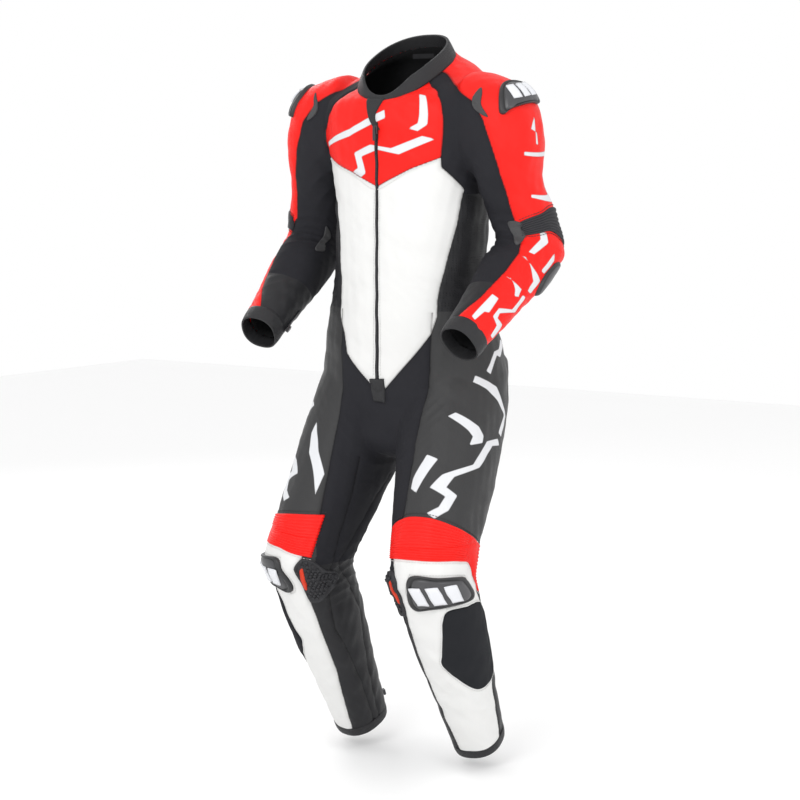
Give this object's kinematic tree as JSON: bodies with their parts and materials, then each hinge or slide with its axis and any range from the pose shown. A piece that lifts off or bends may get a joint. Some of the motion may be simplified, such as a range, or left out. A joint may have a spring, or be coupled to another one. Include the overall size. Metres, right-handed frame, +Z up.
{
  "type": "one-piece motorcycle riding suit",
  "caption": "One-piece leather riding suit with padded collar, sleeves and legs that bend, moulded shoulder, elbow and knee guards, and zips.",
  "frame": {"origin": "the middle of the hanger loop inside the back of the collar", "axes": "+Z up, -Y the wearer's front, +X the wearer's left"},
  "size_m": [0.619, 0.4112, 1.4282],
  "materials": {
    "leather_white": "semi-matt grained leather",
    "leather_red": "semi-matt grained leather",
    "leather_black": "semi-matt grained leather",
    "stretch_black": "matt woven stretch",
    "plastic_black": "satin moulded",
    "armour_foam": "matt foam",
    "zip_metal": "dark satin"
  },
  "bodies": {
    "torso": {"aero_hump": "leather_black", "back_protector": "armour_foam", "chest_pad_left": "armour_foam", "chest_pad_right": "armour_foam", "collar": "leather_black", "front_zip_tape": "stretch_black", "hanger_loop": "stretch_black", "hip_pad_left": "armour_foam", "hip_pad_right": "armour_foam", "lumbar_accordion": "stretch_black", "tail_pad": "armour_foam", "torso_shell": "leather_white", "zip_garage_tab": "leather_black"},
    "upper_arm_left": {"elbow_accordion_left": "stretch_black", "shoulder_armour_left": "armour_foam", "shoulder_cup_left": "plastic_black", "upper_sleeve_left": "leather_red"},
    "forearm_left": {"cuff_left": "leather_black", "cuff_zip_left_tape": "stretch_black", "elbow_armour_left": "armour_foam", "elbow_slider_left": "plastic_black", "forearm_sleeve_left": "leather_red"},
    "thigh_left": {"knee_accordion_left": "leather_red", "thigh_leg_left": "leather_black"},
    "shin_left": {"ankle_band_left": "leather_black", "calf_zip_left_tape": "stretch_black", "inner_knee_grip_left": "plastic_black", "knee_armour_left": "armour_foam", "knee_cup_left": "plastic_black", "shin_leg_left": "leather_white", "slider_base_left": "stretch_black"},
    "cuff_zip_left": {"cuff_zip_left_slider": "zip_metal"},
    "calf_zip_left": {"calf_zip_left_slider": "zip_metal"},
    "upper_arm_right": {"elbow_accordion_right": "stretch_black", "shoulder_armour_right": "armour_foam", "shoulder_cup_right": "plastic_black", "upper_sleeve_right": "leather_red"},
    "forearm_right": {"cuff_right": "leather_black", "cuff_zip_right_tape": "stretch_black", "elbow_armour_right": "armour_foam", "elbow_slider_right": "plastic_black", "forearm_sleeve_right": "leather_red"},
    "thigh_right": {"knee_accordion_right": "leather_red", "thigh_leg_right": "leather_black"},
    "shin_right": {"ankle_band_right": "leather_black", "calf_zip_right_tape": "stretch_black", "inner_knee_grip_right": "plastic_black", "knee_armour_right": "armour_foam", "knee_cup_right": "plastic_black", "shin_leg_right": "leather_white", "slider_base_right": "stretch_black"},
    "cuff_zip_right": {"cuff_zip_right_slider": "zip_metal"},
    "calf_zip_right": {"calf_zip_right_slider": "zip_metal"},
    "front_zip": {"front_zip_slider": "zip_metal"},
    "front_zip_tab": {"front_zip_pull": "zip_metal"}
  },
  "joints": [
    {"name": "shoulder_left", "type": "hinge", "parent": "torso", "child": "upper_arm_left", "pos_m": [0.208, -0.04, -0.123], "axis": [-1, 0, 0], "range_deg": [-30, 80]},
    {"name": "elbow_left", "type": "hinge", "parent": "upper_arm_left", "child": "forearm_left", "pos_m": [0.254, -0.011, -0.373], "axis": [-0.9677, 0.1988, -0.155], "range_deg": [-45, 38], "deforming": ["elbow_accordion_left"]},
    {"name": "hip_left", "type": "hinge", "parent": "torso", "child": "thigh_left", "pos_m": [0.1, -0.034, -0.668], "axis": [-1, 0, 0], "range_deg": [-10, 25]},
    {"name": "knee_left", "type": "hinge", "parent": "thigh_left", "child": "shin_left", "pos_m": [0.148, -0.194, -0.996], "axis": [0.9856, 0.1546, 0.0688], "range_deg": [-42, 42], "deforming": ["knee_accordion_left"]},
    {"name": "cuff_zip_left_run", "type": "slide", "parent": "forearm_left", "child": "cuff_zip_left", "axis": [-0.0216, 0.8312, 0.5555], "range_m": [0, 0.033]},
    {"name": "calf_zip_left_run", "type": "slide", "parent": "shin_left", "child": "calf_zip_left", "axis": [-0.0347, -0.3854, 0.9221], "range_m": [0, 0.081]},
    {"name": "shoulder_right", "type": "hinge", "parent": "torso", "child": "upper_arm_right", "pos_m": [-0.208, -0.04, -0.123], "axis": [-1, 0, 0], "range_deg": [-30, 80]},
    {"name": "elbow_right", "type": "hinge", "parent": "upper_arm_right", "child": "forearm_right", "pos_m": [-0.254, -0.011, -0.373], "axis": [-0.9677, -0.1988, 0.155], "range_deg": [-45, 38], "deforming": ["elbow_accordion_right"]},
    {"name": "hip_right", "type": "hinge", "parent": "torso", "child": "thigh_right", "pos_m": [-0.1, -0.034, -0.668], "axis": [-1, 0, 0], "range_deg": [-10, 25]},
    {"name": "knee_right", "type": "hinge", "parent": "thigh_right", "child": "shin_right", "pos_m": [-0.148, -0.194, -0.996], "axis": [0.9856, -0.1546, -0.0688], "range_deg": [-42, 42], "deforming": ["knee_accordion_right"]},
    {"name": "cuff_zip_right_run", "type": "slide", "parent": "forearm_right", "child": "cuff_zip_right", "axis": [0.0216, 0.8312, 0.5555], "range_m": [0, 0.033]},
    {"name": "calf_zip_right_run", "type": "slide", "parent": "shin_right", "child": "calf_zip_right", "axis": [0.0347, -0.3854, 0.9221], "range_m": [0, 0.081]},
    {"name": "front_zip_run", "type": "slide", "parent": "torso", "child": "front_zip", "axis": [0, 0, -1], "range_m": [0, 0.405]},
    {"name": "front_zip_tab_turn", "type": "hinge", "parent": "front_zip", "child": "front_zip_tab", "pos_m": [0, -0.1726, -0.142], "axis": [-1, 0, 0], "range_deg": [0, 150]}
  ]
}
